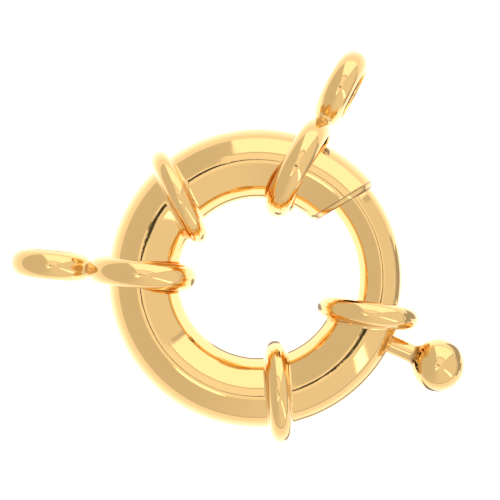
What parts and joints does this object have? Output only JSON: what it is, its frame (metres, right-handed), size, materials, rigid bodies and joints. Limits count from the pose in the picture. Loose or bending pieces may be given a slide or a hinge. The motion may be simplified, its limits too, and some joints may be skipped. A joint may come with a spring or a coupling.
{
  "type": "spring ring clasp",
  "caption": "Round tube clasp for a necklace, with a sprung bolt worked by a ball lever and figure-eight end links.",
  "frame": {"origin": "centre of the ring that the tube forms, on the tube's middle plane", "axes": "+Z out of the ring's plane towards the viewer, +X to the right and +Y up in the front view"},
  "size_m": [0.0303, 0.0262, 0.0074],
  "materials": {
    "gold": "polished yellow gold plate",
    "spring_steel": "drawn wire"
  },
  "bodies": {
    "ring": {"ring_tube": "gold", "spring": "spring_steel"},
    "bolt": {"bolt": "gold"},
    "link_left": {"link_left": "gold"},
    "link_top": {"link_top": "gold"}
  },
  "joints": [
    {"name": "bolt_draw", "type": "hinge", "parent": "ring", "child": "bolt", "pos_m": [0, 0, 0], "axis": [0, 0, -1], "range_deg": [0, 45], "stiffness_Nm_per_rad": 0.004, "springref_deg": -28.65, "deforming": ["spring"]},
    {"name": "link_left_swing", "type": "hinge", "parent": "ring", "child": "link_left", "pos_m": [-0.00774, 0.0003, 0.0003], "axis": [0.0924, 0.9955, 0.0207], "range_deg": [-80, 100]},
    {"name": "link_top_swing", "type": "hinge", "parent": "ring", "child": "link_top", "pos_m": [0.00267, 0.00735, 0.0003], "axis": [0.8821, -0.4654, 0.0723], "range_deg": [-80, 100]}
  ]
}
